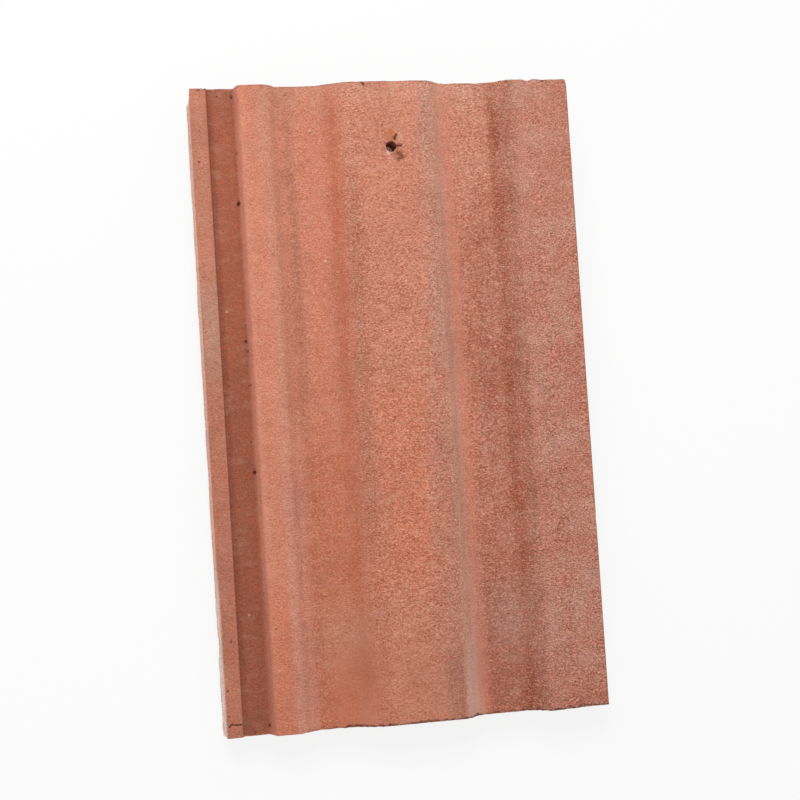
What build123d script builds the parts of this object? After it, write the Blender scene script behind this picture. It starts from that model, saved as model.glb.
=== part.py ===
from build123d import *
import os
from math import atan2, degrees, hypot

# Single-lap interlocking concrete roof tile, lying face up as it rests on a floor.
# The tile is one extruded piece. Its section is drawn across the tile and pushed along its length:
# X runs from the lip on the left to the overlock on the right, Y from the cut tail to the cut head,
# and Z out of the face. Heights in the section are measured from the bed, the plane of the pans'
# undersides, which bears on the batten. All sizes are in millimetres.

# Whole tile
LENGTH = 380.0  # cut tail to cut head
COVER_WIDTH = 201.0  # what one tile adds to its course
THICKNESS = 16.0  # concrete between face and underside, measured straight down

# Underlock along the left edge: a lip and a water channel
CHANNEL_DROP = 2.2  # channel floor below the face of the pans
LIP_RISE = 2.4  # lip above the channel floor
UNDERLOCK_THICKNESS = 8.5  # concrete under the channel, clear of the rolls of the course below
LIP_LEAN = 2.0  # the lip's outer face spreads this far towards its foot
LIP_TOP_WIDTH = 9.5
LIP_WALL_LEAN = 0.8  # the lip's inner wall leans into the channel
CHANNEL_WIDTH = 15.7
RISER_LEAN = 3.0  # the wall between channel and left roll leans back

# Overlock along the right edge, which laps the next tile's underlock
SIDE_CLEARANCE = 0.5
LAP_CLEARANCE = 0.6
TONGUE_WALL_LEAN = 0.8

# Rolls and pans of the face, heights above the pans
LEFT_ROLL_RISE = 6.8
LEFT_ROLL_WIDTH = 12.3
LEFT_ROLL_FLANK = 14.5
LEFT_ROLL_HOLLOW_FLANK = 8.0  # underside only, next to the channel
LEFT_PAN_WIDTH = 11.0
CENTRE_ROLL_RISE = 9.0
CENTRE_ROLL_LEFT_FLANK = 30.5
CENTRE_ROLL_RIGHT_FLANK = 18.0
RIGHT_PAN_WIDTH = 22.5
RIGHT_ROLL_FLANK = 17.0
RIGHT_ROLL_RISE = 6.8
RIGHT_ROLL_INSET = 4.5  # level stretch of the right roll before the overlock
RIGHT_EDGE_DROP = 1.6  # fall of the right roll towards its edge

# Rounded corners of the section
RISER_TOP_RADIUS = 4.0
RISER_FOOT_RADIUS = 1.2
LIP_RADIUS = 0.8
RIGHT_EDGE_RADIUS = 1.2
LOCK_CORNER_RADIUS = 0.8

# Nibs under the head, which hook over the batten
NIB_FROM_HEAD = 25.0  # head to the nibs' batten faces
NIB_DEPTH = 14.0
NIB_WIDTH = 26.0
NIB_ROOT = 15.0  # along the tile, at the underside
NIB_TIP = 9.0  # along the tile, at the foot
NIB_SIDE_TAPER = 2.0  # each side, root to foot
NIB_RADIUS = 2.0  # all edges but those of the batten face

# Weather bars across the underside of the tail
BAR_COUNT = 3
BAR_FROM_TAIL = 6.0
BAR_PITCH = 14.0
BAR_WIDTH = 6.5  # at the underside
BAR_TAPER = 1.5  # each side, towards the foot
BAR_HEIGHT = 3.0

# Nail hole in the centre roll
NAIL_HOLE_DIAMETER = 6.0
NAIL_HOLE_FROM_HEAD = 39.5

# Places across the section, from the lip's foot at zero
lip_outer = LIP_LEAN
lip_inner = lip_outer + LIP_TOP_WIDTH
riser_foot = lip_inner + CHANNEL_WIDTH
left_roll_start = riser_foot + RISER_LEAN
hollow_start = left_roll_start + LEFT_ROLL_HOLLOW_FLANK
left_roll_end = left_roll_start + LEFT_ROLL_WIDTH
left_pan_start = left_roll_end + LEFT_ROLL_FLANK
left_pan_end = left_pan_start + LEFT_PAN_WIDTH
centre_roll_start = left_pan_end + CENTRE_ROLL_LEFT_FLANK
overlock_start = COVER_WIDTH - SIDE_CLEARANCE
right_roll_start = overlock_start - RIGHT_ROLL_INSET
right_pan_end = right_roll_start - RIGHT_ROLL_FLANK
right_pan_start = right_pan_end - RIGHT_PAN_WIDTH
centre_roll_end = right_pan_start - CENTRE_ROLL_RIGHT_FLANK
tongue_inner = COVER_WIDTH + lip_inner + SIDE_CLEARANCE
tongue_outer = COVER_WIDTH + riser_foot - SIDE_CLEARANCE
right_edge = tongue_outer + RISER_LEAN

# Heights above the bed
channel_floor = THICKNESS - CHANNEL_DROP
lip_top = channel_floor + LIP_RISE
underlock_bed = channel_floor - UNDERLOCK_THICKNESS
left_roll_top = THICKNESS + LEFT_ROLL_RISE
right_roll_top = THICKNESS + RIGHT_ROLL_RISE
right_edge_top = right_roll_top - RIGHT_EDGE_DROP
overlock_roof = lip_top + LAP_CLEARANCE
tongue_foot = channel_floor + LAP_CLEARANCE

# Places along the tile, from the tail
hanging_length = LENGTH - NIB_FROM_HEAD
nail_hole_place = LENGTH - NAIL_HOLE_FROM_HEAD

left_pan_middle = (left_pan_start + left_pan_end) / 2
right_pan_middle = (right_pan_start + right_pan_end) / 2
centre_roll_middle = (centre_roll_start + centre_roll_end) / 2


def ogee(start, end):
    """A flank between roll and pan: two equal arcs, level at both ends and tangent half way."""
    middle = (Vector(*start) + Vector(*end)) / 2
    first = TangentArc(start, middle, tangent=(1, 0))
    second = TangentArc(middle, end, tangent=first % 1)
    return [first, second]


def wave(base):
    """The rolls and pans from the left roll's right shoulder to the right roll, with pans at base."""
    left_roll = base + LEFT_ROLL_RISE
    centre_roll = base + CENTRE_ROLL_RISE
    right_roll = base + RIGHT_ROLL_RISE
    return [
        *ogee((left_roll_end, left_roll), (left_pan_start, base)),
        Line((left_pan_start, base), (left_pan_end, base)),
        *ogee((left_pan_end, base), (centre_roll_start, centre_roll)),
        Line((centre_roll_start, centre_roll), (centre_roll_end, centre_roll)),
        *ogee((centre_roll_end, centre_roll), (right_pan_start, base)),
        Line((right_pan_start, base), (right_pan_end, base)),
        *ogee((right_pan_end, base), (right_roll_start, right_roll)),
    ]


def underside(base):
    """The hollow side of the rolls, from under the left roll to the overlock, with pans at base."""
    left_roll = base + LEFT_ROLL_RISE
    right_roll = base + RIGHT_ROLL_RISE
    return [
        Line((hollow_start, left_roll), (left_roll_end, left_roll)),
        *wave(base),
        Line((right_roll_start, right_roll), (overlock_start, right_roll)),
    ]


def rounded(face, corners, radius):
    """The face with its corners nearest to the given points rounded."""
    nearest = [face.vertices().sort_by_distance(corner)[0] for corner in corners]
    return fillet(nearest, radius)


def section():
    """The tile's cross section, lip on the left."""
    face_line = [
        Polyline(
            (0, underlock_bed),
            (lip_outer, lip_top),
            (lip_inner, lip_top),
            (lip_inner + LIP_WALL_LEAN, channel_floor),
            (riser_foot, channel_floor),
            (left_roll_start, left_roll_top),
            (left_roll_end, left_roll_top),
        ),
        *wave(THICKNESS),
        Line((right_roll_start, right_roll_top), (right_edge, right_edge_top)),
    ]
    under_line = [
        Line((0, underlock_bed), (left_roll_start, underlock_bed)),
        *ogee((left_roll_start, underlock_bed), (hollow_start, LEFT_ROLL_RISE)),
        *underside(0),
        Polyline(
            (overlock_start, RIGHT_ROLL_RISE),
            (overlock_start, overlock_roof),
            (tongue_inner, overlock_roof),
            (tongue_inner + TONGUE_WALL_LEAN, tongue_foot),
            (tongue_outer, tongue_foot),
            (right_edge, right_edge_top),
        ),
    ]
    outline = make_face([piece.edges() for piece in face_line + under_line])
    outline = rounded(outline, [(left_roll_start, left_roll_top)], RISER_TOP_RADIUS)
    outline = rounded(outline, [(riser_foot, channel_floor)], RISER_FOOT_RADIUS)
    lip_corners = [(lip_outer, lip_top), (lip_inner, lip_top)]
    outline = rounded(outline, lip_corners, LIP_RADIUS)
    outline = rounded(outline, [(right_edge, right_edge_top)], RIGHT_EDGE_RADIUS)
    lock_corners = [
        (overlock_start, overlock_roof),
        (tongue_inner, overlock_roof),
        (tongue_inner + TONGUE_WALL_LEAN, tongue_foot),
        (tongue_outer, tongue_foot),
    ]
    return rounded(outline, lock_corners, LOCK_CORNER_RADIUS)


def nib(middle):
    """A nib under one pan: upright on its batten face, tapered and worn round on its other sides."""
    to_back = (Align.CENTER, Align.MIN)
    root = Rectangle(NIB_WIDTH, NIB_ROOT, align=to_back)
    foot = Rectangle(NIB_WIDTH - 2 * NIB_SIDE_TAPER, NIB_TIP, align=to_back)
    hook = loft([root, Pos(Z=-NIB_DEPTH) * foot])
    free_edges = [edge for edge in hook.edges() if edge.center().Y > 0 and edge.center().Z < 0]
    hook = fillet(free_edges, NIB_RADIUS)
    grown_in = extrude(root, amount=THICKNESS / 2)
    return Pos(middle, hanging_length) * (hook + grown_in)


def under_strip(drop):
    """The stretch of section just below the underside, drop deep, that a weather bar fills."""
    ends = [
        Line((hollow_start, LEFT_ROLL_RISE - drop), (hollow_start, LEFT_ROLL_RISE)),
        Line((overlock_start, RIGHT_ROLL_RISE - drop), (overlock_start, RIGHT_ROLL_RISE)),
    ]
    return Plane.XZ * make_face([piece.edges() for piece in underside(0) + underside(-drop) + ends])


def weather_bar(start):
    """A rib across the tail's underside that follows the rolls and pans and narrows downwards."""
    bar = extrude(under_strip(BAR_HEIGHT), amount=BAR_WIDTH, dir=(0, 1, 0))
    flank_length = hypot(BAR_TAPER, BAR_HEIGHT)
    beside = under_strip(2 * BAR_HEIGHT)
    bar -= extrude(beside, amount=flank_length, dir=(0, BAR_TAPER, -BAR_HEIGHT))
    bar -= Pos(Y=BAR_WIDTH) * extrude(beside, amount=flank_length, dir=(0, -BAR_TAPER, -BAR_HEIGHT))
    return Pos(Y=start) * bar


def nail_hole():
    """The drill that pierces the centre roll below the head."""
    place = Pos(centre_roll_middle, nail_hole_place, THICKNESS + CENTRE_ROLL_RISE)
    return place * Cylinder(NAIL_HOLE_DIAMETER / 2, 4 * THICKNESS)


def tile():
    """The whole tile with its bed level, tail at Y zero."""
    body = extrude(Plane.XZ * section(), amount=LENGTH, dir=(0, 1, 0))
    nibs = [nib(left_pan_middle), nib(right_pan_middle)]
    bars = [weather_bar(BAR_FROM_TAIL + number * BAR_PITCH) for number in range(BAR_COUNT)]
    return body + nibs + bars - nail_hole()


def at_rest(shape):
    """The tile tipped onto its first weather bar and its nibs' front edges, centred over the origin."""
    bar_foot = BAR_FROM_TAIL + BAR_TAPER
    tip = atan2(NIB_DEPTH - BAR_HEIGHT, hanging_length - bar_foot)
    tipped = Rot(X=degrees(tip)) * shape
    box = tipped.bounding_box()
    return Pos(-box.center().X, -box.center().Y, -box.min.Z) * tipped


os.makedirs("parts", exist_ok=True)
roof_tile = at_rest(tile())
export_step(roof_tile, "parts/roof_tile.step")
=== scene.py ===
# %% [markdown]
# # A concrete roof tile, dressed over its CAD solid
# The object is one piece: an interlocking roof tile, pressed out of a damp mix of sand, cement and red
# iron oxide, and cut to length before it sets. The CAD model holds its exact form. This lesson gives
# that form the skin of the real thing: drag marks, sand grain, crumbled cut edges and long streaks.
# It starts by loading the imported model, which stays fixed, and by keeping its box, which the floor uses.

# %% Load the imported tile
from math import ceil, cos, hypot, radians, sin

import bmesh
import bpy
from mathutils import Matrix, Vector, noise
from mathutils.kdtree import KDTree


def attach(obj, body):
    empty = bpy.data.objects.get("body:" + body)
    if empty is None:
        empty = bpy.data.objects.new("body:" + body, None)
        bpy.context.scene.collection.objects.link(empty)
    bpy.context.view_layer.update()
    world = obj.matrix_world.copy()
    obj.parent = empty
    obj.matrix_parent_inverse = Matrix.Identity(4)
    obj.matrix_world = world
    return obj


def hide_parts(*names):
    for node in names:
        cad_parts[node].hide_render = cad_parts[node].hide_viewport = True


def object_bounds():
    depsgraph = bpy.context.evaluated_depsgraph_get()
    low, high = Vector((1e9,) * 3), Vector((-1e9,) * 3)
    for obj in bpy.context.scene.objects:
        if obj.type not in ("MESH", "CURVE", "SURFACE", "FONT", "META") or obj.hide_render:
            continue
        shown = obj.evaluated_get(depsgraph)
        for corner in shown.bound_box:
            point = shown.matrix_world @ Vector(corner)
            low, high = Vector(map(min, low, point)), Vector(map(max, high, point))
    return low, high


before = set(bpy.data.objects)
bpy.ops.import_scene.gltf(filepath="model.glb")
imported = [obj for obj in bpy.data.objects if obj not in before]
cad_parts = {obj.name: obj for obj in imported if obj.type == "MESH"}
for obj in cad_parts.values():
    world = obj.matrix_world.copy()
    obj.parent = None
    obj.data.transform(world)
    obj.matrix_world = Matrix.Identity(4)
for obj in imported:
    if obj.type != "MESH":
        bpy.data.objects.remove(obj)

cad_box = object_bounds()
print("CAD box in metres", *cad_box)

# %% [markdown]
# ## Measure on the tile, not on the floor
# The tile lies on its nibs and on a rib under its tail, so its face leans by nearly two degrees. Every
# detail below is easier to place on the tile itself: so far across from the foot of its lip, so far
# along from its cut tail and so far up from the bed under its pans. One matrix holds that frame, and
# its inverse reads a mesh point back in tile millimetres.

# %% The tile's own frame
MM = 0.001
LENGTH = 380.0
REST_TIP = radians(1.813)
TAIL_CORNER = Vector((-115.048, -189.509, 2.761)) * MM

tile_to_row = Matrix.Translation(TAIL_CORNER) @ Matrix.Rotation(REST_TIP, 4, "X")
row_to_tile = tile_to_row.inverted()
tile_axes = tile_to_row.to_3x3()


def tile_mm(point):
    """A point of the scene as (across, along, up) on the tile, in millimetres."""
    return (row_to_tile @ point) / MM


def on_tile(across, along, up):
    """The scene point at a place on the tile given in millimetres."""
    return tile_to_row @ (Vector((across, along, up)) * MM)


def leaning(part):
    """The outward direction of a face or a vertex in the tile's frame."""
    return tile_axes.transposed() @ part.normal


print("the CAD box's top corner on the tile", tile_mm(cad_box[1]))

# %% [markdown]
# ## The camera
# The photograph looks down on the face from a little to the left and below, with the tile turned by
# four degrees in the frame. A camera that looks straight down has no natural up, so the up direction
# is written out: it is the tile's length, turned by the roll.

# %% Camera
EYE = Vector((-153.16, -65.08, 901.12)) * MM
AIM = Vector((0.56, 0.03, 24.77)) * MM
ROLL = radians(-3.983)
LENS = 67.5

backward = (EYE - AIM).normalized()
rightward = Vector((0, 1, 0)).cross(backward).normalized()
upward = backward.cross(rightward)
facing = Matrix((rightward, upward, backward)).transposed() @ Matrix.Rotation(ROLL, 3, "Z")

camera = bpy.data.objects.new("camera", bpy.data.cameras.new("camera"))
camera.data.lens = LENS
camera.matrix_world = Matrix.Translation(EYE) @ facing.to_4x4()
bpy.context.scene.collection.objects.link(camera)
bpy.context.scene.camera = camera
bpy.context.scene.view_settings.view_transform = "Standard"
print("camera", round((EYE - AIM).length, 3), "m from the tile")

# %% [markdown]
# ## A face fine enough to carve
# The solid's face is a few dozen strips that run from tail to head, far too coarse for pits and
# crumbled edges. A copy of its mesh is merged, its flat triangles are dissolved into whole strips, and
# bisecting planes cut those into a net. A subdivision would round the sharp lip and need many
# levels, while a plane cut leaves the form as it is. Each list of cuts is halved over and over, so that
# no cut has to look at the whole mesh. The many cuts along the face come last, because until then the
# mesh is small.

# %% Merged copy of the solid
WELD = 0.002  # points closer than this, in millimetres, are one point
FLAT = radians(0.4)  # faces that bend by less than this are one strip

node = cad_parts["roof_tile"]
skin = bmesh.new()
skin.from_mesh(node.data)
bmesh.ops.remove_doubles(skin, verts=skin.verts[:], dist=WELD * MM)
bmesh.ops.dissolve_limit(skin, angle_limit=FLAT, verts=skin.verts[:], edges=skin.edges[:])
print("whole strips", len(skin.faces))

# %% Cutting planes
ON_PLANE = 0.01  # points this near a plane, in millimetres, count as on it
AT_END = 0.1  # and this near a cut end, as on that
SAME_LINE = 0.05  # lines closer than this are one line


def cut(faces, axis, places):
    """Cuts the faces square to one axis of the tile (0 across, 1 along, 2 up) at each place."""
    if not faces or not places:
        return faces
    middle = len(places) // 2
    place = Vector((0, 0, 0))
    place[axis] = places[middle]
    parts = dict.fromkeys(part for face in faces for part in (face, *face.edges, *face.verts))
    bisected = bmesh.ops.bisect_plane(
        skin,
        geom=list(parts),
        dist=ON_PLANE * MM,
        plane_co=on_tile(*place),
        plane_no=tile_axes.col[axis],
    )
    low, high = [], []
    for part in bisected["geom"]:
        if isinstance(part, bmesh.types.BMFace):
            below = tile_mm(part.calc_center_median())[axis] < places[middle]
            (low if below else high).append(part)
    return cut(low, axis, places[:middle]) + cut(high, axis, places[middle + 1:])


def fill_gaps(lines, spacing):
    """Places that divide every gap between the lines into steps no longer than the spacing."""
    places = []
    for start, end in zip(lines, lines[1:]):
        steps = ceil((end - start) / spacing)
        places += [start + (end - start) * step / steps for step in range(1, steps)]
    return places


def end_lines(faces):
    """Places across the tile where the faces' own edges meet its cut ends."""
    corners = [tile_mm(v.co) for face in faces for v in face.verts]
    found = sorted(p.x for p in corners if min(p.y, LENGTH - p.y) < AT_END)
    return [a for a, b in zip(found, found[1:]) if b - a > SAME_LINE] + found[-1:]


print("a gap of 10 mm in steps of up to 4 mm is cut at", fill_gaps([0, 10], 4))

# %% Net on the face, the cut ends and the underside
FACE_STEP = 1.5
END_STEP = 2.0
UNDER_STEP = 4.0
HEIGHTS = [0, 26]  # from the bed to above the highest roll
FACE_LEAN, END_LEAN = 0.15, 0.95  # how far a face looks up, or along, to be of the face or a cut end
STEEP = 0.5  # a face that looks up less than this is cut by height
SMALLEST_END = 1e-3  # square metres, so that only whole ends count
SLIVER = 0.1  # edges shorter than this are collapsed, so that wear can't fold them over

sides = {"face": [], "cut ends": [], "underside": []}
for face in skin.faces:
    if leaning(face).z > FACE_LEAN:
        sides["face"].append(face)
    elif abs(leaning(face).y) > END_LEAN and face.calc_area() > SMALLEST_END:
        sides["cut ends"].append(face)
    else:
        sides["underside"].append(face)
print({side: len(faces) for side, faces in sides.items()})

across_lines = end_lines(sides["face"])
across_fill = fill_gaps(across_lines, FACE_STEP)
under_fill = fill_gaps(end_lines(sides["underside"]), UNDER_STEP)
up_fill = fill_gaps(HEIGHTS, END_STEP)
steep = [face for face in sides["face"] if leaning(face).z < STEEP]
gentle = [face for face in sides["face"] if leaning(face).z >= STEEP]
face_net = cut(steep, 2, fill_gaps(HEIGHTS, FACE_STEP)) + cut(gentle, 0, across_fill)
end_net = cut(sides["cut ends"], 2, up_fill)
cut(end_net, 0, sorted(across_lines + across_fill))
under_net = cut(sides["underside"], 0, under_fill)
cut(under_net, 1, fill_gaps([0, LENGTH], UNDER_STEP))
cut(face_net, 1, fill_gaps([0, LENGTH], FACE_STEP))
bmesh.ops.dissolve_degenerate(skin, edges=skin.edges[:], dist=SLIVER * MM)
bmesh.ops.triangulate(skin, faces=[face for face in skin.faces if len(face.verts) > 4])
print("net of", len(skin.faces), "faces, open edges", sum(not e.is_manifold for e in skin.edges))

# %% [markdown]
# ## Round the rolls
# The solid's mesh bends the rolls in flats about three millimetres wide, which would catch the light
# as stripes. A few passes of smoothing that only move points up and down even them out. The lip, the
# channel's wall and the nail hole are left out, because they are meant to be sharp.

# %% Smooth the rolls and pans
NAIL_HOLE = Vector((118.5, 340.5))
KEPT_RIM = 6  # millimetres round the nail hole that stay sharp
ROLLS = (34, 228)
PASSES = 8


def in_rolls(vert):
    """Whether a point lies on the rolls and pans, away from sharp edges."""
    place = tile_mm(vert.co)
    open_face = all(leaning(face).z > STEEP for face in vert.link_faces)
    return open_face and ROLLS[0] < place.x < ROLLS[1] and (place.xy - NAIL_HOLE).length > KEPT_RIM


rolls = [vert for vert in skin.verts if in_rolls(vert)]
for _ in range(PASSES):
    bmesh.ops.smooth_vert(
        skin, verts=rolls, factor=0.5, use_axis_x=False, use_axis_y=False, use_axis_z=True
    )
print("smoothed", len(rolls), "points of the rolls")

# %% [markdown]
# ## Drag marks and crumbled edges
# The die drags the damp mix along, which leaves shallow long waves on the face, and coarse sand stands
# in it. The blade that cuts the tiles apart crumbles both ends, and the lip's outer edge was never
# pressed clean, so it is ragged. The wear takes each point back along its normal, but on the cut ends
# it goes straight into the tile, because points that move along one line can't fold over each other.
# Knocks have broken some corners, and a knock pushes the points round it one way. All wear goes
# inwards, so it never leaves the solid's box. Noise from mathutils is the same in every run.

# %% Weather the skin
CHIPS = {
    # name: (across, along, up, reach, depth, the way that the knock went in)
    "lip's foot at the head": (0.0, 381.0, 4.0, 9.5, 1.7, (1, 0, 0)),
    "lip's foot near the tail": (0.0, 52.0, 6.0, 7.0, 0.6, (1, 0, 0)),
    "lip's corner at the tail": (0.5, 0.5, 8.0, 5.0, 0.7, (0.7, 0.7, 0)),
    "right corner at the head": (229.9, 380.0, 18.0, 3.8, 1.0, (-0.7, -0.7, 0)),
    "notch in the head's right edge": (205.0, 380.0, 21.0, 2.6, 0.8, (0, -1, 0)),
    "right edge below the middle": (229.9, 112.0, 18.0, 3.0, 0.5, (-1, 0, 0)),
}
WEAR = {
    # name: (depth, size across, size along, seed, power), and a higher power leaves fewer deep marks
    "drag marks": (0.22, 9, 80, 3.1, 1),
    "sandy face": (0.14, 2.6, 3.4, 7.7, 1),
    "rim of the face": (0.25, 4, 4, 2.6, 2),
    "pallet's side": (0.15, 14, 30, 5.3, 1),
    "ragged lip": (0.7, 4, 16, 9.2, 2),
    "lip's crumbs": (0.4, 2, 3, 4.8, 2),
    "cut end": (0.4, 3, 3, 11.9, 2),
    "torn edge of the face": (0.7, 6, 6, 1.4, 3),
}
LOOKS_UP = 0.1  # how far a point has to look up, or down, to be worn as the face, or the underside
RIM = 2  # width of the rim along each cut end
LIP_EDGE = 1.9  # the lip's raw edge lies this near its foot
EDGE_LOSS, TAIL_LOSS = 0.1, 0.3  # what the face's edge, and the whole tail, have lost evenly
TAIL_LUMP = (191.7, 202.5)  # where across the tail a lump still stands out


def swell(place, across, along, seed):
    """Smooth noise from 0 to 1 with the given lengths across and along, in millimetres."""
    lattice = Vector((place.x / across, place.y / along, place.z / across + seed))
    return 0.5 + 0.5 * noise.noise(lattice)


def worn(kind, place):
    """How much one kind of wear takes at a place on the tile, in millimetres."""
    depth, across, along, seed, power = WEAR[kind]
    return depth * swell(place, across, along, seed) ** power


def weathering(vert):
    """How far a point has lost ground, as (across, along, up) in millimetres."""
    place, way = tile_mm(vert.co), leaning(vert)
    from_end = min(place.y, LENGTH - place.y)
    lost = 0.0
    if way.z > LOOKS_UP:
        lost += worn("drag marks", place) + worn("sandy face", place)
        if AT_END < from_end < RIM:
            lost += worn("rim of the face", place)
    elif way.z < -LOOKS_UP:
        lost += worn("pallet's side", place)
    if place.x < LIP_EDGE:
        lost += worn("ragged lip", place) + worn("lip's crumbs", place)
    if from_end > AT_END:
        return way * -lost
    at_tail = place.y < LENGTH / 2
    crumbled = worn("cut end", place)
    if way.z > LOOKS_UP:
        crumbled += EDGE_LOSS + worn("torn edge of the face", place)
    if at_tail and not TAIL_LUMP[0] < place.x < TAIL_LUMP[1]:
        crumbled += TAIL_LOSS
    inward = 1 if at_tail else -1
    return Vector((-way.x * lost, inward * crumbled, -way.z * lost))


def knock(vert):
    """How far a point has been knocked away, as (across, along, up) in millimetres."""
    place = tile_mm(vert.co)
    shift = Vector((0, 0, 0))
    for across, along, height, reach, depth, way in CHIPS.values():
        away = (place - Vector((across, along, height))).length / reach
        if away < 1:
            rough = 0.6 + 0.8 * swell(place, 1.8, 1.8, 3.7)
            shift += Vector(way) * depth * (1 - away ** 4) * rough
    return shift


skin.normal_update()
offsets = {vert: tile_axes @ (weathering(vert) + knock(vert)) * MM for vert in skin.verts}
for vert, offset in offsets.items():
    vert.co += offset
print("deepest wear", round(max(offset.length for offset in offsets.values()) / MM, 2), "mm")

# %% [markdown]
# ## Pits, proud grains, a crack and the nail hole's spall
# Air pockets burst along the head, on the lip and at the foot of the channel's wall, a few large grains
# stand out of the face, and a crack runs across the lip near the tail. The nail hole was punched,
# which tore its rim. Each is dug out of, or raised on, a finer patch of the net. A moved point also
# remembers how deep it lies, as an attribute that the material reads, because dirt and shadow make
# the real pits nearly black, and clean sand is pale.

# %% Places of the damage
PITS = {
    # where: [(across, along, radius, depth)]
    "foot of the channel's wall": [
        (27, 311, 1.4, 1.4), (26.5, 374.5, 1.1, 1.0), (27.5, 340.5, 0.9, 0.7), (26.5, 229.5, 1.0, 1.1),
        (27, 223.5, 0.8, 0.6), (27.5, 203.5, 0.9, 0.8), (26, 170.5, 0.8, 0.8), (27, 152.5, 1.3, 1.3),
        (25.5, 91, 0.8, 0.6), (27, 5.5, 1.0, 1.0),
    ],
    "lip": [
        (5.5, 336, 0.9, 1.0), (3.5, 236, 0.8, 0.6), (7, 189.5, 0.6, 0.5), (7.5, 55.5, 1.0, 0.8),
        (4, 27.5, 0.9, 0.9), (4, 13, 0.7, 0.7),
    ],
    "channel": [
        (18, 375, 0.8, 0.7), (16.5, 345, 0.7, 0.5), (15.5, 204, 0.9, 0.5), (13, 164, 0.7, 0.5),
        (18.5, 2.5, 0.8, 0.7),
    ],
    "head's edge": [
        (7.5, 379, 1.0, 0.9), (10.5, 379.5, 1.0, 1.1), (43.5, 379.5, 1.0, 0.9), (104, 378.5, 1.6, 1.2),
        (214.5, 379, 1.2, 1.4), (58, 374.5, 0.9, 0.5),
    ],
    "left roll and pan": [
        (54.5, 340.5, 0.8, 0.6), (79, 336, 1.0, 0.5), (58, 227, 0.8, 0.4), (61.5, 209.5, 0.9, 0.5),
        (32.5, 72, 0.8, 0.4), (32.5, 67.5, 1.0, 0.5), (33, 64, 0.8, 0.4), (33.5, 61.5, 1.0, 0.6),
        (63.5, 96, 0.8, 0.4), (49, 29.5, 0.9, 0.5), (61, 49.5, 0.8, 0.5),
    ],
    "centre roll": [(110.5, 195.5, 1.2, 0.7)],
}
GRAINS = {
    # where: [(across, along, radius, height)]
    "underlock": [(16.5, 247.5, 0.9, 0.35), (7, 191, 0.8, 0.3), (19, 70, 1.0, 0.3), (8, 129, 0.9, 0.3)],
    "left roll and pan": [
        (76, 274.5, 1.1, 0.45), (71.5, 353, 1.2, 0.35), (35, 322, 1.0, 0.3), (60.5, 270.5, 1.1, 0.3),
        (57, 287.5, 0.9, 0.3), (82.5, 267.5, 0.9, 0.3), (62.5, 186, 0.9, 0.3), (34, 37.5, 0.8, 0.4),
    ],
    "centre roll": [(97.5, 183, 0.9, 0.35), (143, 117, 1.0, 0.3)],
    "right pan": [
        (177, 323.5, 1.2, 0.45), (173.5, 224.5, 1.1, 0.45), (176, 219, 1.1, 0.45), (184, 267, 0.8, 0.35),
        (184, 154.5, 0.9, 0.3), (188, 201.5, 0.9, 0.3), (174, 56.5, 1.1, 0.3),
    ],
    "right roll": [
        (197.5, 371, 0.9, 0.3), (204.5, 314.5, 0.8, 0.3), (214.5, 313.5, 0.9, 0.3),
        (211.5, 345.5, 0.9, 0.3), (203, 137, 0.9, 0.3), (213.5, 63.5, 1.0, 0.3),
    ],
}
CRACK = [(3.6, 6.9), (5.1, 8.3), (8.0, 7.7), (10.9, 7.8)]
CRACK_WIDTH, CRACK_DEPTH = 0.55, 1.1
SPALL_REACH, SPALL_DEPTH = 6.0, 0.8  # the dish round the nail hole
TEARS = {
    # name: (angle, start, end, width, depth)
    "right": (4, 2.6, 6.0, 1.3, 1.4),
    "upper right": (62, 5.0, 7.5, 1.3, 1.4),
    "lower right": (-45, 6.0, 9.5, 1.5, 0.8),
    "left of the hole": (150, 2.6, 4.0, 1.2, 0.5),
}

pits = [pit for group in PITS.values() for pit in group]
grains = [grain for group in GRAINS.values() for grain in group]
print(len(pits), "pits,", len(grains), "proud grains,", len(TEARS), "tears at the nail hole")

# %% Finer patches
DUG_FACE = 0.2  # how far a point has to look up to be dug out or raised
REFINED = (
    # (past each pit and grain, to each side of the crack, round the nail hole's centre)
    (2.2, 2.6, 12),
    (0.9, 1.6, 10),
)


def surface_points():
    """The skin's points that look up, and a search tree of their (across, along)."""
    skin.verts.ensure_lookup_table()
    skin.normal_update()
    seen = [vert for vert in skin.verts if leaning(vert).z > DUG_FACE]
    finder = KDTree(len(seen))
    for number, vert in enumerate(seen):
        place = tile_mm(vert.co)
        finder.insert((place.x, place.y, 0), number)
    finder.balance()
    return seen, finder


def refine(spots):
    """Divides the net round each (across, along, reach)."""
    seen, finder = surface_points()
    near = {seen[n] for x, y, reach in spots for _, n, _ in finder.find_range((x, y, 0), reach)}
    edges = [edge for edge in skin.edges if edge.verts[0] in near and edge.verts[1] in near]
    bmesh.ops.subdivide_edges(skin, edges=edges, cuts=1, use_grid_fill=True)
    bmesh.ops.triangulate(skin, faces=[face for face in skin.faces if len(face.verts) > 4])


crack_line = [
    Vector(a).lerp(Vector(b), share) for a, b in zip(CRACK, CRACK[1:]) for share in (0, 0.5, 1)
]
marks = [(x, y, radius) for x, y, radius, _ in pits + grains]
for past_mark, past_crack, past_hole in REFINED:
    spots = [(x, y, radius + past_mark) for x, y, radius in marks]
    spots += [(*spot, past_crack) for spot in crack_line]
    refine(spots + [(*NAIL_HOLE, past_hole)])
print("net of", len(skin.faces), "faces after refining")

# %% Dig and raise
SMALLEST_MOVE = 0.02
FULL_DEPTH, FULL_HEIGHT = 1.0, 0.4  # millimetres at which the attribute reaches 1 and -1
CRACK_SEARCH, HOLE_SEARCH = 4, 14  # reaches that hold all the points of the crack's pieces and the tears


def to_line(point, start, end):
    """Distance from a flat point to a line between two places."""
    run = end - start
    share = max(0.0, min(1.0, (point - start).dot(run) / run.length_squared))
    return (point - start - run * share).length


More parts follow.
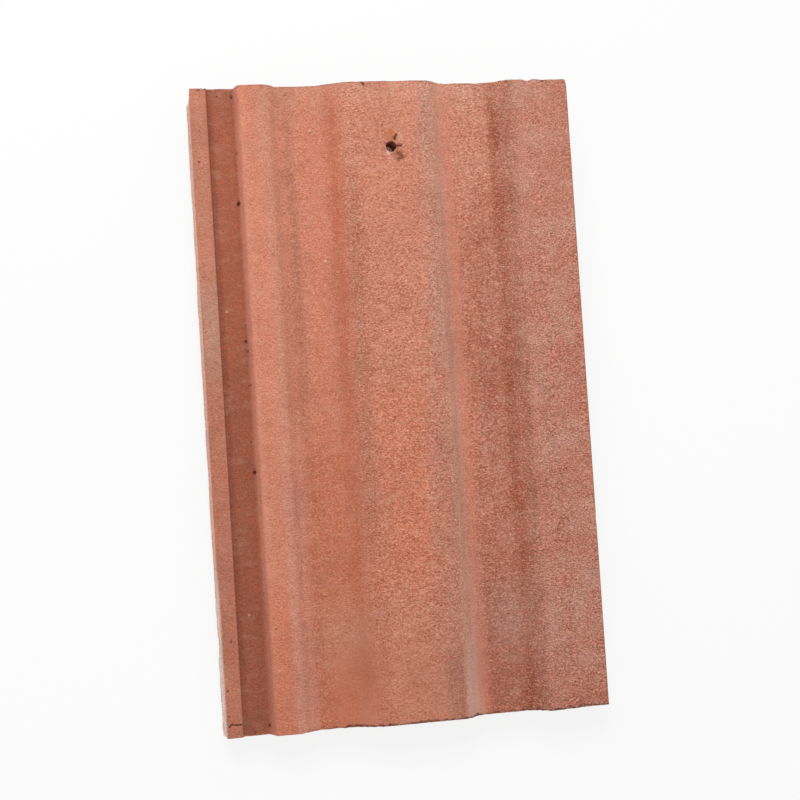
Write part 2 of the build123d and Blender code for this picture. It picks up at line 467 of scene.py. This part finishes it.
def deepen(vert, depth):
    """Keeps the deepest of the depths that a point is given."""
    moved[vert] = max(moved.get(vert, 0.0), depth)


hollow = skin.verts.layers.float.new("hollow")
seen, finder = surface_points()
moved = {}
for x, y, radius, height in grains:
    for _, number, away in finder.find_range((x, y, 0), radius):
        moved[seen[number]] = -height * (1 - (away / radius) ** 2)
for x, y, radius, depth in pits:
    slant = Matrix.Rotation(radians(37 * x), 2)
    for _, number, _ in finder.find_range((x, y, 0), radius * 1.6):
        place = tile_mm(seen[number].co)
        off = slant @ (place.xy - Vector((x, y)))
        rim = radius * (0.45 + 1.1 * swell(place, 0.7, 0.7, 6.1))
        deepen(seen[number], depth * max(0.0, 1 - hypot(0.75 * off.x, 1.35 * off.y) / rim))
for start, end in zip(CRACK, CRACK[1:]):
    start, end = Vector(start), Vector(end)
    for _, number, _ in finder.find_range((*start.lerp(end, 0.5), 0), CRACK_SEARCH):
        away = to_line(tile_mm(seen[number].co).xy, start, end) / CRACK_WIDTH
        deepen(seen[number], CRACK_DEPTH * max(0.0, 1 - away))
for _, number, away in finder.find_range((*NAIL_HOLE, 0), HOLE_SEARCH):
    place = tile_mm(seen[number].co)
    dish = SPALL_DEPTH * max(0.0, 1 - away / SPALL_REACH)
    deepen(seen[number], dish * swell(place, 2.2, 2.2, 8.8))
    for angle, start, end, width, depth in TEARS.values():
        ray = Vector((cos(radians(angle)), sin(radians(angle))))
        off = to_line(place.xy - NAIL_HOLE, ray * start, ray * end) / width
        deepen(seen[number], depth * max(0.0, 1 - off) * (0.3 + 1.1 * swell(place, 1.1, 1.1, 2.2)))

moved = {vert: depth for vert, depth in moved.items() if abs(depth) > SMALLEST_MOVE}
for vert, depth in moved.items():
    vert.co -= vert.normal * depth * MM
    full = FULL_DEPTH if depth > 0 else FULL_HEIGHT
    vert[hollow] = max(-1.0, min(1.0, depth / full))
dug = sum(depth > 0 for depth in moved.values())
print("points dug out", dug, "and raised", len(moved) - dug)

# %% [markdown]
# ## Hand the skin over
# The underside was shaped by a smooth metal pallet and the ends by the blade, so the material needs to
# know which side a point lies on. Two more attributes say so. Then the mesh becomes an object that
# rides on the tile's one body, while the CAD node is hidden.

# %% The finished skin
EDGE_ANGLE = radians(38)

skin.normal_update()
pallet_side = skin.verts.layers.float.new("pallet_side")
blade_cut = skin.verts.layers.float.new("blade_cut")
for vert in skin.verts:
    where, way = tile_mm(vert.co), leaning(vert)
    vert[pallet_side] = 1.0 if way.z < -0.2 or where.z < 0.5 else 0.0
    vert[blade_cut] = 1.0 if abs(way.y) > 0.55 and min(where.y, LENGTH - where.y) < 3 else 0.0
for face in skin.faces:
    face.smooth = True
for edge in skin.edges:
    edge.smooth = edge.calc_face_angle(0) < EDGE_ANGLE
bmesh.ops.triangulate(skin, faces=skin.faces[:])
mesh = bpy.data.meshes.new("roof_tile_skin")
skin.to_mesh(mesh)
skin.free()
tile = bpy.data.objects.new("roof_tile_skin", mesh)
bpy.context.scene.collection.objects.link(tile)
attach(tile, "root")
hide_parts("roof_tile")
print("skin of", len(mesh.polygons), "triangles")

# %% [markdown]
# ## Through-coloured extruded concrete
# Concrete tiles get their red from iron oxide in the mix, so the colour is matt and runs right through.
# It is never even: the extruder smears rich and lean mix into streaks along the tile, rain washes the
# rolls and leaves soot in the pans, and each sand grain shows as a light or dark fleck. The
# material is built in that order, from a plain salmon body to streaks, patches, grain and dirt.
# Everything is drawn in tile millimetres, so one Mapping node turns Object coordinates into those.

# %% Colours and nodes
def linear(hex_colour):
    """An sRGB hex colour as the linear RGBA that Blender's sockets take."""
    parts = [int(hex_colour[i:i + 2], 16) / 255 for i in (1, 3, 5)]
    return (*[p / 12.92 if p <= 0.04045 else ((p + 0.055) / 1.055) ** 2.4 for p in parts], 1.0)


def add(tree, kind, inputs, **settings):
    """Adds a node. Inputs are values or other nodes' outputs, by the socket's name or number."""
    made = tree.nodes.new(kind)
    for name, value in settings.items():
        setattr(made, name, value)
    for socket, value in inputs.items():
        if isinstance(value, bpy.types.NodeSocket):
            tree.links.new(value, made.inputs[socket])
        else:
            made.inputs[socket].default_value = value
    return made.outputs[2] if kind == "ShaderNodeMix" else made.outputs[0]


# A colour Mix node keeps its two colours on these sockets
MIX_A, MIX_B = 6, 7
print("sRGB #808080 is", round(linear("#808080")[0], 3), "in linear light")

# %% Concrete: tile millimetres
concrete = bpy.data.materials.new("through_coloured_extruded_concrete")
concrete.use_nodes = True
tree = concrete.node_tree
shader = tree.nodes["Principled BSDF"]
shader.inputs["Roughness"].default_value = 0.92
shader.inputs["Specular IOR Level"].default_value = 0.25

coords = tree.nodes.new("ShaderNodeTexCoord")
tile_place = add(
    tree,
    "ShaderNodeMapping",
    {
        "Vector": coords.outputs["Object"],
        "Location": row_to_tile.to_translation() / MM,
        "Rotation": (-REST_TIP, 0, 0),
        "Scale": (1 / MM, 1 / MM, 1 / MM),
    },
)
split = tree.nodes.new("ShaderNodeSeparateXYZ")
tree.links.new(tile_place, split.inputs[0])
across, along = split.outputs["X"], split.outputs["Y"]
print(concrete.name, "is drawn in tile millimetres")

# %% [markdown]
# ### The noises that break things up
# Nothing on a real tile has a clean edge. Each noise below has a real size across, along and up the
# tile, which a Mapping node of the texture kind takes as they are. The sand is drawn a little coarser
# than it is, because true grains of half a millimetre would blur out between the camera's pixels.

# %% Concrete: noises
NOISES = {
    # name: ((size across, along and up in mm), octaves, roughness)
    "waver of the streaks": ((14, 110, 40), 2, 0.5),
    "frayed edges": ((4, 8, 8), 3, 0.6),
    "thin places": ((5, 45, 30), 4, 0.6),
    "dusting": ((1.7, 1.3, 1.7), 2, 0.5),
    "mottles": ((9, 5, 9), 3, 0.65),
    "sand": ((1.05, 0.75, 0.9), 1, 0.5),
    "worms of paste": ((2.6, 1.1, 1.8), 1, 0.5),
    "patches": ((30, 24, 30), 4, 0.6),
    "blots": ((2.2, 2.2, 2.2), 2, 0.5),
}
noises = {}
for name, (sizes, octaves, roughness) in NOISES.items():
    view = add(tree, "ShaderNodeMapping", {"Vector": tile_place, "Scale": sizes}, vector_type="TEXTURE")
    noises[name] = add(
        tree,
        "ShaderNodeTexNoise",
        {"Vector": view, "Scale": 1.0, "Detail": octaves, "Roughness": roughness},
    )
print("noises", len(noises))

# %% [markdown]
# ### Streaks
# Each streak is a band across the tile that fades at its sides and at its ends. Two noises make the
# bands waver and fray, another one thins them here and there, and a fine one lets the body's own
# grains show through, as they do through dust.

# %% Concrete: the body and its streaks
SALMON = "#C9826A"
TAIL, HEAD = -99, 480  # past both ends, so the streak runs all the way
STREAKS = {
    # name: (from, to, softness, colour, strength, tail end, head end)
    "bright left roll": (31, 42, 3, "#D3866B", 1.0, TAIL, HEAD),
    # Partly painted highlight: the wall's rounded shoulder is painted paler where it faces the lamp, on top
    # of its smoother surface.
    "smooth shoulder of the wall with painted highlight": (27, 32, 2.5, "#DA9078", 0.95, TAIL, HEAD),
    # Partly painted light: this flank faces away from the lamp, and its colour is painted lighter to offset
    # that shade.
    "dull line beside the roll": (43, 51, 4, "#D29178", 0.95, TAIL, HEAD),
    "orange tail of the left roll": (31, 42, 3, "#CE7452", 0.6, TAIL, 80),
    "pink drift at the tail": (44, 56, 3, "#D38E79", 1.0, TAIL, 190),
    "sooty left pan": (54, 62, 4, "#C2795F", 1.0, TAIL, HEAD),
    "dark grain of the left pan": (56, 61, 3, "#A06A58", 0.55, 190, 380),
    "orange flank": (64, 79, 4, "#CD7F65", 1.0, TAIL, HEAD),
    "brown tail of the left pan": (57, 82, 5, "#B96A4C", 0.75, TAIL, 170),
    "brick line": (80, 88, 5, "#B96548", 0.9, 20, HEAD),
    "brown foot of the centre roll": (85, 99, 5, "#BD6F55", 0.7, TAIL, 330),
    "grey veil at the foot": (90, 97, 4, "#AE7661", 0.65, 110, 335),
    "orange of the centre roll": (98, 130, 8, "#CF7A5B", 0.8, 80, 200),
    "dull tail of the centre roll": (92, 140, 8, "#C17A62", 0.6, TAIL, 70),
    "sooty shoulder": (131, 145, 4, "#C0806A", 1.0, TAIL, 240),
    "sooty head of the shoulder": (136, 145, 4, "#BD8975", 1.0, 220, HEAD),
    "dark tail of the shoulder": (132, 143, 3, "#A6705B", 0.75, TAIL, 40),
    # Partly painted light: a real grey run, painted lighter on the flank that faces away from the lamp to
    # offset its shade.
    "grey run": (143.5, 152, 3.5, "#D79F89", 0.95, TAIL, HEAD),
    "pale smear": (144, 150, 2.5, "#DCB3A0", 0.9, TAIL, 48),
    "foot of the pale smear": (148, 154, 2.5, "#D6A590", 0.7, TAIL, 10),
    "pale orange line": (152, 156, 3, "#CF846C", 0.9, 90, HEAD),
    "dull right pan": (158, 181, 4, "#B26A53", 1.0, TAIL, HEAD),
    "clean head of the right pan": (157, 180, 4, "#CB8670", 0.85, 285, HEAD),
    "brown tail of the right pan": (160, 192, 4, "#9C5F4B", 0.6, TAIL, 80),
    "rust run": (180, 188, 3, "#964F38", 1.0, TAIL, HEAD),
    "sooty right shoulder": (187, 195, 2.5, "#A06350", 1.0, TAIL, HEAD),
    "red right roll": (195, 240, 4, "#BE7A65", 1.0, TAIL, HEAD),
    "shaded middle of the right pan": (166, 176, 3, "#A05C48", 0.45, 165, 320),
    "sooty head of the right shoulder": (188, 197, 3, "#9A6350", 0.45, 300, HEAD),
    "core of the rust run": (180.5, 185, 2, "#96502F", 0.6, 40, HEAD),
    "red tail of the right roll": (197, 240, 4, "#AC624D", 0.4, TAIL, 35),
    "dull head of the left roll": (37, 48, 4, "#C08570", 0.45, 335, HEAD),
    "dull head of the orange flank": (60, 79, 5, "#BC7860", 0.45, 335, HEAD),
    "beige head of the pans": (48, 182, 8, "#C99680", 0.6, 371, HEAD),
    "dust on the left pan's tail": (62, 88, 6, "#D0A490", 0.35, 40, 68),
    "dust on the right pan's tail": (162, 188, 6, "#C09A88", 0.4, 42, 72),
}
STREAK_END = 18.0
WAVER = {"waver of the streaks": 2.0, "frayed edges": 4.0}  # how far each noise moves a streak's side


def band(value, start, end, soft):
    """A mask that is 1 between two places and fades over the softness at each of them."""
    off = add(tree, "ShaderNodeMath", {0: value, 1: (start + end) / 2}, operation="SUBTRACT")
    off = add(tree, "ShaderNodeMath", {0: off}, operation="ABSOLUTE")
    half = (end - start) / 2
    return add(
        tree,
        "ShaderNodeMapRange",
        {"Value": off, "From Min": half + soft, "From Max": half - soft},
        interpolation_type="SMOOTHSTEP",
    )


def stretch(line, start, end, soft, tail, head):
    """A mask for a band along the tile that fades out where it stops short of the tile's ends."""
    mask = band(line, start, end, soft)
    if tail > 0 or head < LENGTH:
        ends = band(along, tail, head, STREAK_END)
        mask = add(tree, "ShaderNodeMath", {0: mask, 1: ends}, operation="MULTIPLY")
    return mask


def tint(under, hue, strength, *masks):
    """Lays a colour over another one, as far as the strength and all the masks let it."""
    share = strength
    for mask in masks:
        share = add(tree, "ShaderNodeMath", {0: mask, 1: share}, operation="MULTIPLY")
    return add(tree, "ShaderNodeMix", {0: share, MIX_A: under, MIX_B: linear(hue)}, data_type="RGBA")


wavered = across
for name, reach in WAVER.items():
    wavered = add(tree, "ShaderNodeMath", {0: noises[name], 1: reach, 2: wavered}, operation="MULTIPLY_ADD")
    wavered = add(tree, "ShaderNodeMath", {0: wavered, 1: reach / 2}, operation="SUBTRACT")
thinned = add(
    tree,
    "ShaderNodeMapRange",
    {"Value": noises["thin places"], "From Min": 0.3, "From Max": 0.55, "To Min": 0.6},
)
dusted = add(
    tree,
    "ShaderNodeMapRange",
    {"Value": noises["dusting"], "From Min": 0.34, "From Max": 0.56, "To Min": 0.5},
)
broken = add(tree, "ShaderNodeMath", {0: thinned, 1: dusted}, operation="MULTIPLY")

colour = linear(SALMON)
for start, end, soft, hue, strength, tail, head in STREAKS.values():
    colour = tint(colour, hue, strength, stretch(wavered, start, end, soft, tail, head), broken)
print("streaks", len(STREAKS))

# %% [markdown]
# ### The underlock
# The lip and the channel lie under the next tile, so they were never washed: they keep the darker red of
# the fresh mix, with sharp borders at their edges. The rough outer edge of the lip is pale, partly its own
# raw colour and partly a painted highlight where it leans out towards the light.

# %% Concrete: the underlock
UNDERLOCK = {
    # name: (from, to, softness, colour, strength, tail end, head end)
    "channel": (12.0, 27.5, 0.9, "#9A5942", 1.0, TAIL, HEAD),
    "clean head of the channel": (13.5, 26.0, 2.0, "#A86149", 0.6, 210, HEAD),
    "dirty head of the channel": (13.5, 27.0, 2.0, "#8A5747", 0.5, 374, HEAD),
    "shaded tail of the wall": (26.0, 31.0, 1.5, "#A9604A", 0.25, TAIL, 90),
    "shade beside the lip": (11.6, 15.0, 1.2, "#8E503C", 0.8, TAIL, HEAD),
    "lip": (2.0, 11.8, 0.5, "#B9755E", 1.0, TAIL, HEAD),
    "worn grey stretch of the lip": (2.0, 11.8, 1.0, "#B98771", 0.9, 212, 268),
    "pale head of the lip": (2.0, 10.0, 1.0, "#BE7E67", 0.8, 268, HEAD),
    # Partly painted highlight: the raw outer face is painted pale, and near white at the tail, where it
    # leans out towards the light.
    "raw outer edge with painted highlight": (-4.0, 1.8, 0.4, "#E4B3A0", 1.0, TAIL, HEAD),
    "paler tail of the raw edge with painted highlight": (-4.0, 2.2, 0.6, "#F2D6CA", 0.95, TAIL, 90),
}
for start, end, soft, hue, strength, tail, head in UNDERLOCK.values():
    colour = tint(colour, hue, strength, stretch(across, start, end, soft, tail, head))
print("underlock finishes", len(UNDERLOCK))

# %% [markdown]
# ### Grain
# Sand shows as light and dark flecks, and cement paste as short pale worms that lie across the tile,
# where the mix was dragged. The grain is fine on the washed left side, coarse on the centre roll and the
# pans, and like salt and pepper on the right roll. The smooth runs have hardly any. A worm is where a
# noise passes through its middle value, which is a thin winding line.

# %% Concrete: sand and paste
GRAIN_ZONES = {
    # name: (from, to, softness, change to the full grain, tail end, head end)
    "washed left side": (-5, 84, 12, -0.36, TAIL, HEAD),
    "smooth wall shoulder": (26, 32, 2, -0.15, TAIL, HEAD),
    "smooth brick line": (80, 90, 4, -0.25, TAIL, HEAD),
    "smooth tail of the centre roll": (66, 158, 6, -0.35, TAIL, 50),
    "smooth grey run": (145, 157, 3, -0.4, TAIL, HEAD),
    "smooth tail of the right pan": (158, 182, 4, -0.2, TAIL, 60),
    "fine head of the centre roll": (99, 137, 6, -0.2, 285, HEAD),
    "salt and pepper of the right roll": (195, 240, 5, 0.25, TAIL, 290),
}
LEAST_GRAIN = 0.2

grain_share = 1.0
for start, end, soft, change, tail, head in GRAIN_ZONES.values():
    mask = stretch(wavered, start, end, soft, tail, head)
    grain_share = add(
        tree, "ShaderNodeMath", {0: mask, 1: change, 2: grain_share}, operation="MULTIPLY_ADD"
    )
grain_share = add(tree, "ShaderNodeMath", {0: grain_share, 1: LEAST_GRAIN}, operation="MAXIMUM")
sand = add(
    tree,
    "ShaderNodeMapRange",
    {"Value": noises["sand"], "From Min": 0.25, "From Max": 0.75, "To Min": -0.38, "To Max": 0.42},
    clamp=False,
)
worm = add(tree, "ShaderNodeMath", {0: noises["worms of paste"], 1: 0.5}, operation="SUBTRACT")
worm = add(tree, "ShaderNodeMath", {0: worm}, operation="ABSOLUTE")
worm = add(tree, "ShaderNodeMapRange", {"Value": worm, "From Max": 0.09, "To Min": 0.22, "To Max": -0.08})
clumped = add(
    tree,
    "ShaderNodeMapRange",
    {"Value": noises["mottles"], "From Min": 0.3, "From Max": 0.7, "To Min": 0.75, "To Max": 1.2},
)
flecks = add(tree, "ShaderNodeMath", {0: sand, 1: worm}, operation="ADD")
for share in (grain_share, clumped):
    flecks = add(tree, "ShaderNodeMath", {0: flecks, 1: share}, operation="MULTIPLY")
print("zones of finer grain", len(GRAIN_ZONES))

# %% [markdown]
# ### Mottles, dust, pits and proud grains
# Where the mix was rich in oxide the face is redder, and where dust or lime settled it is beige. Both
# come in small mottles that lie across the tile, strongest where the grain is. A veil of grey dust
# drifts over the right side in larger patches. The ends that the blade cut are plain brick red, the
# pallet's side is paler, and painted shade darkens a ragged line along the tail's edge. The pits are
# darkened by their depth, partly as dirt and partly as painted shade, and the proud grains are clean
# sand.

# %% Concrete: mottles, dust and dirt
RICH, LEAN, DUST, SAND, PASTE = "#C0624A", "#CFA28E", "#B7917F", "#E3B7A2", "#B05440"
# The third colour is painted shade, for the line along the tail's edge.
CUT_END, UNDERSIDE, TAIL_EDGE_SHADE = "#B27862", "#BA8470", "#4A2C24"
VEILS = {
    # name: (from, to, strength)
    "right pan": (160, 195, 0.2),
    "right roll": (195, 240, 0.5),
}

rich = add(tree, "ShaderNodeMapRange", {"Value": noises["mottles"], "From Min": 0.52, "From Max": 0.72})
lean = add(tree, "ShaderNodeMapRange", {"Value": noises["mottles"], "From Min": 0.48, "From Max": 0.28})
veil = add(tree, "ShaderNodeMapRange", {"Value": noises["patches"], "From Min": 0.44, "From Max": 0.62})
colour = tint(colour, RICH, 0.4, rich, grain_share)
colour = tint(colour, LEAN, 0.3, lean, grain_share)
cut_end = tree.nodes.new("ShaderNodeAttribute")
cut_end.attribute_name = "blade_cut"
pallet = tree.nodes.new("ShaderNodeAttribute")
pallet.attribute_name = "pallet_side"
for start, end, strength in VEILS.values():
    colour = tint(colour, DUST, strength, veil, band(wavered, start, end, 4), broken)
ragged_tail = add(
    tree, "ShaderNodeMath", {0: noises["frayed edges"], 1: -5.0, 2: along}, operation="MULTIPLY_ADD"
)
# Painted shade: a ragged dark line just inside the tail's edge stands for the shade of that edge.
colour = tint(colour, TAIL_EDGE_SHADE, 0.85, band(ragged_tail, -9, -0.9, 0.6), band(across, 58, 250, 20))
colour = tint(colour, CUT_END, 0.8, cut_end.outputs["Fac"])
colour = tint(colour, UNDERSIDE, 0.8, pallet.outputs["Fac"])

patch_tone = add(
    tree,
    "ShaderNodeMapRange",
    {"Value": noises["patches"], "From Min": 0.3, "From Max": 0.7, "To Min": 0.92, "To Max": 1.08},
)
grain_tone = add(tree, "ShaderNodeMath", {0: flecks, 1: 1.0}, operation="ADD")
hollow_read = tree.nodes.new("ShaderNodeAttribute")
hollow_read.attribute_name = "hollow"
pit_depth = hollow_read.outputs["Fac"]
# Painted shade and dirt: every dug point (pits, crack, tears and spall) is darkened by its depth, down to
# 0.15 of its colour.
pit_dirt_and_shade = add(tree, "ShaderNodeMapRange", {"Value": pit_depth, "To Min": 1.0, "To Max": 0.15})
tone = add(tree, "ShaderNodeMath", {0: patch_tone, 1: grain_tone}, operation="MULTIPLY")
tone = add(tree, "ShaderNodeMath", {0: tone, 1: pit_dirt_and_shade}, operation="MULTIPLY")
colour = add(
    tree, "ShaderNodeMix", {0: 1.0, MIX_A: colour, MIX_B: tone}, data_type="RGBA", blend_type="MULTIPLY"
)
bright = add(tree, "ShaderNodeMapRange", {"Value": flecks, "From Min": 0.12, "From Max": 0.45})
dark = add(tree, "ShaderNodeMapRange", {"Value": flecks, "From Min": -0.08, "From Max": -0.4})
proud = add(tree, "ShaderNodeMapRange", {"Value": pit_depth, "From Min": -0.2, "From Max": -0.9})
colour = tint(colour, PASTE, 0.3, dark, band(across, 31, 190, 6))
colour = tint(colour, SAND, 0.4, bright, band(across, 31, 240, 3))
colour = tint(colour, SAND, 0.8, proud)
print("mottled with", RICH, LEAN, DUST, "and flecked with", SAND)

# %% [markdown]
# ### Stains round the nail hole and air holes
# Rust from a nail has bled into the spall, which shows as two small smears beside a pale scuff and a
# crumb. On the underside, small air bubbles were caught between the mix and the pallet. They are cells
# of a Voronoi texture, cut down to their middles.

# %% Concrete: stains and air holes
STAINS = {
    # name: (across, along, radius, colour, strength)
    "orange smear": (117.5, 348.0, 5.0, "#C06C46", 1.0),
    "brown smear": (123.0, 334.5, 5.0, "#8C4E3A", 0.95),
    "pale scuff": (124.5, 346.5, 3.0, "#D6A592", 0.6),
    "pale crumb": (116.5, 337.0, 2.4, "#D9B2A2", 1.0),
}
ragged = add(
    tree,
    "ShaderNodeMapRange",
    {"Value": noises["blots"], "From Min": 0.35, "From Max": 0.6, "To Min": 0.25},
)
flat_place = add(tree, "ShaderNodeVectorMath", {0: tile_place, 1: (1, 1, 0)}, operation="MULTIPLY")
for x, y, radius, hue, strength in STAINS.values():
    away = tree.nodes.new("ShaderNodeVectorMath")
    away.operation = "DISTANCE"
    tree.links.new(flat_place, away.inputs[0])
    away.inputs[1].default_value = (x, y, 0)
    smear = add(
        tree,
        "ShaderNodeMapRange",
        {"Value": away.outputs["Value"], "From Min": radius, "From Max": radius * 0.3},
        interpolation_type="SMOOTHSTEP",
    )
    colour = tint(colour, hue, strength, smear, ragged)

AIR_HOLE_SPACING, AIR_HOLE_SHADE = 9.0, "#5E372B"
cell = add(
    tree,
    "ShaderNodeTexVoronoi",
    {"Vector": tile_place, "Scale": 1 / AIR_HOLE_SPACING, "Randomness": 1.0},
)
air_hole = add(tree, "ShaderNodeMapRange", {"Value": cell, "From Min": 0.09, "From Max": 0.05})
# Painted shade: the air holes are not cut into the mesh, so the shade inside them is painted dark on the
# pallet's side.
colour = tint(colour, AIR_HOLE_SHADE, 0.75, pallet.outputs["Fac"], air_hole)
tree.links.new(colour, shader.inputs["Base Color"])

relief = add(tree, "ShaderNodeBump", {"Strength": 0.7, "Distance": 0.4 * MM, "Height": flecks})
tree.links.new(relief, shader.inputs["Normal"])
mesh.materials.append(concrete)
print("concrete has", len(tree.nodes), "nodes")

# %% [markdown]
# ## Floor and light
# A product photograph on white has one big soft lamp and a bright surround. The floor is a plain white
# sheet. Most of what the camera sees of it is its own flat white, so the background is white without
# more light on the tile, and the rest still shows the tile's shadow. Under the tile the flat white fades
# out, so the shadow there is the real one and the sheet doesn't glow through the nail hole. The lamp hangs
# beyond the head, a little to the left, because the photograph is brightest at the head.

# %% Floor
PAPER, WHITE = "#F2F2F2", "#FFFFFF"
FLAT_WHITE = 0.85
UNDER_EDGE = 0.03  # metres over which the flat white fades out, inwards from the tile's box
FLOOR_REACH, FLOOR_DROP = 4.0, 0.0001

floor_mesh = bpy.data.meshes.new("floor")
sheet = bmesh.new()
bmesh.ops.create_grid(sheet, x_segments=1, y_segments=1, size=FLOOR_REACH)
bmesh.ops.translate(sheet, verts=sheet.verts[:], vec=(0, 0, -FLOOR_DROP))
sheet.to_mesh(floor_mesh)
sheet.free()
floor = bpy.data.objects.new("floor", floor_mesh)
bpy.context.scene.collection.objects.link(floor)


def seen_directly(tree):
    """1 for what the camera sees, straight or through gloss and glass, and 0 for light on surfaces."""
    path = tree.nodes.new("ShaderNodeLightPath")
    mirrored = add(
        tree,
        "ShaderNodeMath",
        {0: path.outputs["Is Glossy Ray"], 1: path.outputs["Is Transmission Ray"]},
        operation="MAXIMUM",
    )
    return add(tree, "ShaderNodeMath", {0: path.outputs["Is Camera Ray"], 1: mirrored}, operation="MAXIMUM")


paper = bpy.data.materials.new("white_paper")
paper.use_nodes = True
tree = paper.node_tree
diffuse = tree.nodes["Principled BSDF"]
diffuse.inputs["Roughness"].default_value = 1.0
diffuse.inputs["Base Color"].default_value = linear(PAPER)
outside = tree.nodes.new("ShaderNodeTexCoord").outputs["Object"]
outside = add(tree, "ShaderNodeVectorMath", {0: outside}, operation="ABSOLUTE")
outside = add(tree, "ShaderNodeVectorMath", {0: outside, 1: cad_box[1]}, operation="SUBTRACT")
past = tree.nodes.new("ShaderNodeSeparateXYZ")
tree.links.new(outside, past.inputs[0])
beyond = add(tree, "ShaderNodeMath", {0: past.outputs["X"], 1: past.outputs["Y"]}, operation="MAXIMUM")
open_floor = add(tree, "ShaderNodeMapRange", {"Value": beyond, "From Min": -UNDER_EDGE, "From Max": 0.0})
white_share = add(tree, "ShaderNodeMath", {0: seen_directly(tree), 1: open_floor}, operation="MULTIPLY")
white_share = add(tree, "ShaderNodeMath", {0: white_share, 1: FLAT_WHITE}, operation="MULTIPLY")
glow = add(tree, "ShaderNodeEmission", {"Color": linear(WHITE), "Strength": 1.0})
both = add(tree, "ShaderNodeMixShader", {0: white_share, 1: diffuse.outputs[0], 2: glow})
tree.links.new(both, tree.nodes["Material Output"].inputs["Surface"])
floor_mesh.materials.append(paper)
print("floor is white paper,", FLAT_WHITE, "of it flat white to the camera")

# %% Lamp and surround
KEY_PLACE = Vector((-0.25, 0.85, 1.05))
KEY_SIZE, KEY_WATTS = 0.8, 13
SURROUND = 0.47  # strength of the surround's light on the tile, while the camera sees it white

key = bpy.data.objects.new("key", bpy.data.lights.new("key", "AREA"))
key.data.size = KEY_SIZE
key.data.energy = KEY_WATTS
key.location = KEY_PLACE
key.rotation_euler = (KEY_PLACE - AIM).to_track_quat("Z", "Y").to_euler()
bpy.context.scene.collection.objects.link(key)

world = bpy.data.worlds.new("studio")
bpy.context.scene.world = world
world.use_nodes = True
tree = world.node_tree
surround = tree.nodes["Background"]
surround.inputs["Color"].default_value = linear(WHITE)
level = add(tree, "ShaderNodeMapRange", {"Value": seen_directly(tree), "To Min": SURROUND, "To Max": 1.0})
tree.links.new(level, surround.inputs["Strength"])
print("one lamp of", KEY_WATTS, "W and a surround of", SURROUND)
